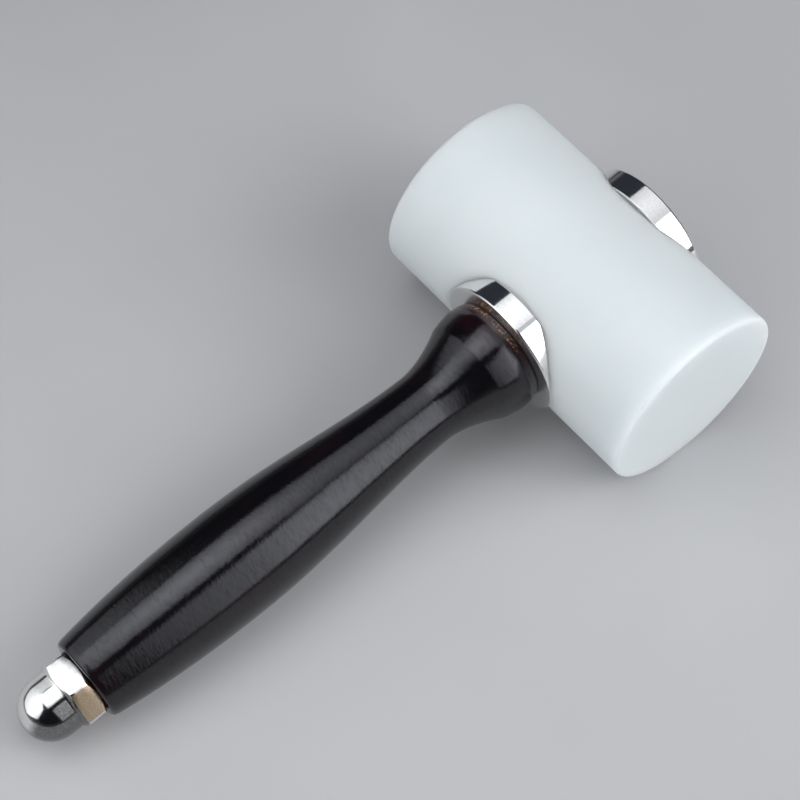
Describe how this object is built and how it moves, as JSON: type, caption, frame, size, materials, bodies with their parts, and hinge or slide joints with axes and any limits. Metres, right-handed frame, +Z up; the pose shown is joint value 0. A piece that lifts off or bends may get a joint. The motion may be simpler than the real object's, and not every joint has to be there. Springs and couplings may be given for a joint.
{
  "type": "carving mallet",
  "caption": "Carving mallet lying at rest: white nylon cylinder head clamped between two polished steel collars on a turned black wooden handle, drawn up by a through rod and a steel cap nut.",
  "frame": {"origin": "centre of the mallet's box on the floor it lies on", "axes": "+X along the mallet from the cap nut to the top collar, +Y along the head, +Z up; the rod leans 5.4 degrees up towards the head"},
  "size_m": [0.2008, 0.085, 0.052],
  "materials": {
    "nylon": "satin, milky, slightly translucent",
    "polished_collar": "mirror polished stainless steel",
    "lacquered_wood": "gloss lacquer over black-brown wood",
    "rod_steel": "turned, bright",
    "polished_nut": "polished stainless steel"
  },
  "bodies": {
    "grip": {"handle": "lacquered_wood", "handle_collar": "polished_collar"},
    "head": {"nylon_head": "nylon", "top_collar": "polished_collar", "tie_rod": "rod_steel"},
    "nut": {"cap_nut": "polished_nut"}
  },
  "joints": [
    {"name": "head_draw", "type": "slide", "parent": "grip", "child": "head", "axis": [0.9955, 0, 0.0949], "range_m": [0, 0.011]},
    {"name": "nut_turn", "type": "hinge", "parent": "grip", "child": "nut", "pos_m": [-0.08241, 0, 0.01118], "axis": [-0.9955, 0, -0.0949], "range_deg": [0, 2641]}
  ],
  "couplings": [
    {"joint": "nut_turn", "follows": "head_draw", "rad_per_m": 4188.8}
  ]
}
